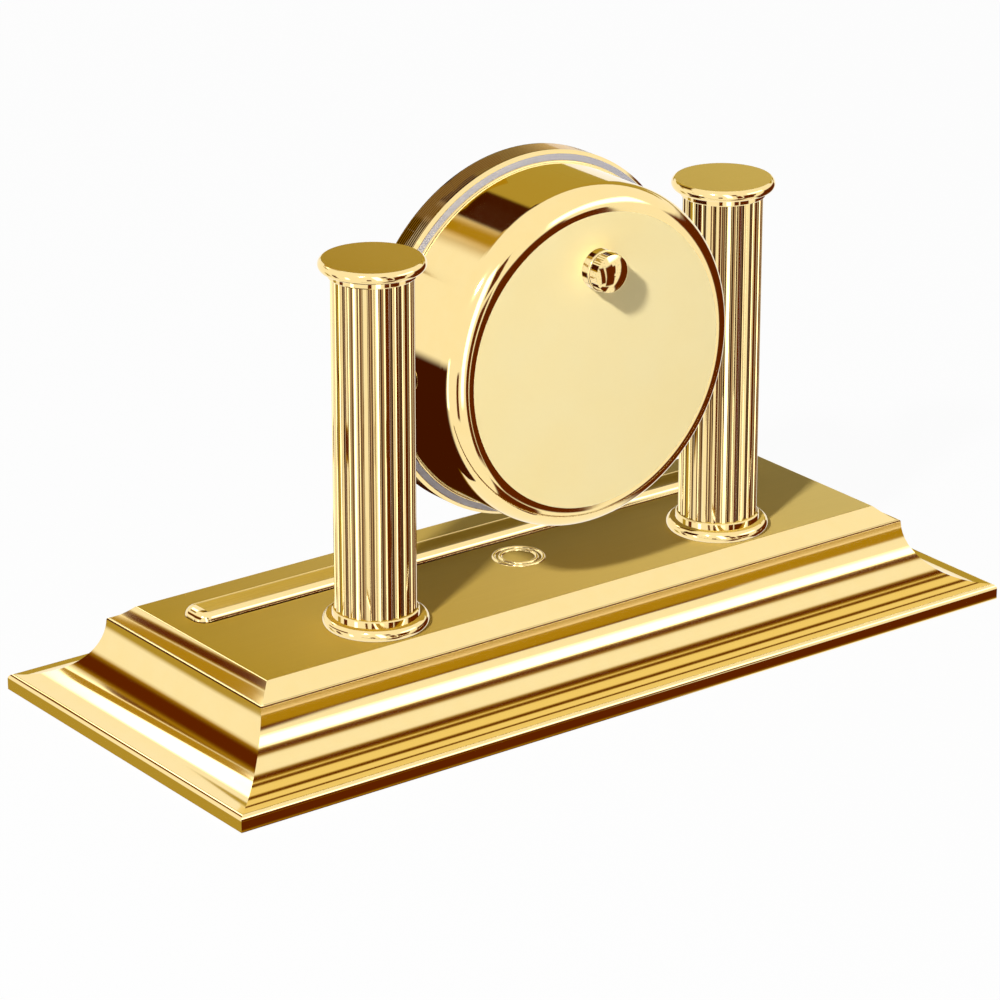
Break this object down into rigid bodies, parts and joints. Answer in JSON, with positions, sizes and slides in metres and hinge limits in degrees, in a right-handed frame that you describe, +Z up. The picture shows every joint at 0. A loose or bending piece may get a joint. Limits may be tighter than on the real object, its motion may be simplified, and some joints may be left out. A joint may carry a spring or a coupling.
{
  "type": "desk clock with pen rest",
  "caption": "Desk clock: a round drum case tilting between fluted columns on a moulded gold plinth, with a grooved pen rest along the front.",
  "frame": {"origin": "bottom centre of the plinth, on the surface it stands on", "axes": "+X along the plinth, to the right seen from the dial side; -Y towards the reader of the dial; +Z up"},
  "size_m": [0.24, 0.1056, 0.1342],
  "materials": {
    "polished_gold_brass": "polished and gold plated",
    "lacquered_brass": "satin, clear lacquer",
    "zinc_plated_steel": "bright zinc plate",
    "brushed_nickel": "fine turned, nickel plated",
    "soft_iron": "stamped",
    "sintered_magnet": "ground",
    "copper_winding": "enamelled wire",
    "green_felt": "pressed felt",
    "mineral_glass": "polished",
    "black_rubber": "moulded",
    "white_enamel": "satin enamel",
    "black_lacquer": "gloss",
    "red_lacquer": "gloss",
    "black_moulded_plastic": "fine spark texture",
    "acetal": "moulded",
    "nylon": "moulded",
    "printed_steel_can": "lacquered sleeve",
    "fibreglass_board": "solder mask",
    "epoxy": "potting blob"
  },
  "bodies": {
    "stand": {"felt_pad": "green_felt", "base_plate": "zinc_plated_steel", "base_plate_screws": "zinc_plated_steel", "plinth_shell": "polished_gold_brass", "pen_rest": "polished_gold_brass", "pen_rest_clips": "zinc_plated_steel", "column_foot_left": "polished_gold_brass", "column_foot_right": "polished_gold_brass", "column_shaft_left": "polished_gold_brass", "column_shaft_right": "polished_gold_brass", "column_capital_left": "polished_gold_brass", "column_capital_right": "polished_gold_brass", "column_rods": "zinc_plated_steel", "column_nuts": "zinc_plated_steel", "column_washers": "zinc_plated_steel", "pivot_screws": "zinc_plated_steel", "friction_washers": "nylon"},
    "clock": {"pivot_bushes": "lacquered_brass", "bezel": "polished_gold_brass", "crystal": "mineral_glass", "crystal_gasket": "black_rubber", "rehaut_ring": "white_enamel", "dial": "white_enamel", "hour_markers": "lacquered_brass", "mounting_ring": "brushed_nickel", "rear_case": "polished_gold_brass", "movement_front": "black_moulded_plastic", "movement_back": "black_moulded_plastic", "movement_screws": "zinc_plated_steel", "train_bridge": "lacquered_brass", "bridge_screws": "zinc_plated_steel", "battery": "printed_steel_can", "battery_contact_plus": "brushed_nickel", "battery_contact_minus": "brushed_nickel", "stator_plate": "soft_iron", "coil": "copper_winding", "circuit_board": "fibreglass_board", "control_chip": "epoxy", "quartz_can": "brushed_nickel"},
    "setting": {"setting_arbor": "lacquered_brass", "setting_knob": "polished_gold_brass"},
    "minute_wheel": {"minute_wheel": "lacquered_brass"},
    "minute": {"cannon": "lacquered_brass", "minute_hand": "black_lacquer"},
    "hour": {"hour_wheel": "lacquered_brass", "hour_hand": "black_lacquer"},
    "second": {"second_wheel": "acetal", "second_hand": "red_lacquer"},
    "intermediate": {"intermediate_wheel": "acetal"},
    "rotor": {"rotor": "sintered_magnet"}
  },
  "joints": [
    {"name": "clock_tilt", "type": "hinge", "parent": "stand", "child": "clock", "pos_m": [0, 0.01543, 0.087], "axis": [1, 0, 0], "range_deg": [-5, 5]},
    {"name": "knob_turn", "type": "hinge", "parent": "clock", "child": "setting", "pos_m": [0, 0.01543, 0.111], "axis": [0, 1, 0], "continuous": true},
    {"name": "minute_wheel_turn", "type": "hinge", "parent": "clock", "child": "minute_wheel", "pos_m": [0, 0.01543, 0.099], "axis": [0, 1, 0], "continuous": true},
    {"name": "minute_turn", "type": "hinge", "parent": "clock", "child": "minute", "pos_m": [0, 0.01543, 0.087], "axis": [0, 1, 0], "continuous": true},
    {"name": "hour_turn", "type": "hinge", "parent": "clock", "child": "hour", "pos_m": [0, 0.01543, 0.087], "axis": [0, 1, 0], "continuous": true},
    {"name": "second_turn", "type": "hinge", "parent": "clock", "child": "second", "pos_m": [0, 0.01543, 0.087], "axis": [0, 1, 0], "continuous": true},
    {"name": "intermediate_turn", "type": "hinge", "parent": "clock", "child": "intermediate", "pos_m": [-0.00849, 0.01543, 0.0919], "axis": [0, 1, 0], "continuous": true},
    {"name": "rotor_turn", "type": "hinge", "parent": "clock", "child": "rotor", "pos_m": [-0.00703, 0.01543, 0.10017], "axis": [0, 1, 0], "continuous": true}
  ],
  "couplings": [
    {"joint": "minute_wheel_turn", "follows": "knob_turn", "ratio": -0.33333},
    {"joint": "minute_turn", "follows": "knob_turn", "ratio": 1},
    {"joint": "hour_turn", "follows": "knob_turn", "ratio": 0.083333},
    {"joint": "intermediate_turn", "follows": "second_turn", "ratio": -6},
    {"joint": "rotor_turn", "follows": "second_turn", "ratio": 30}
  ]
}
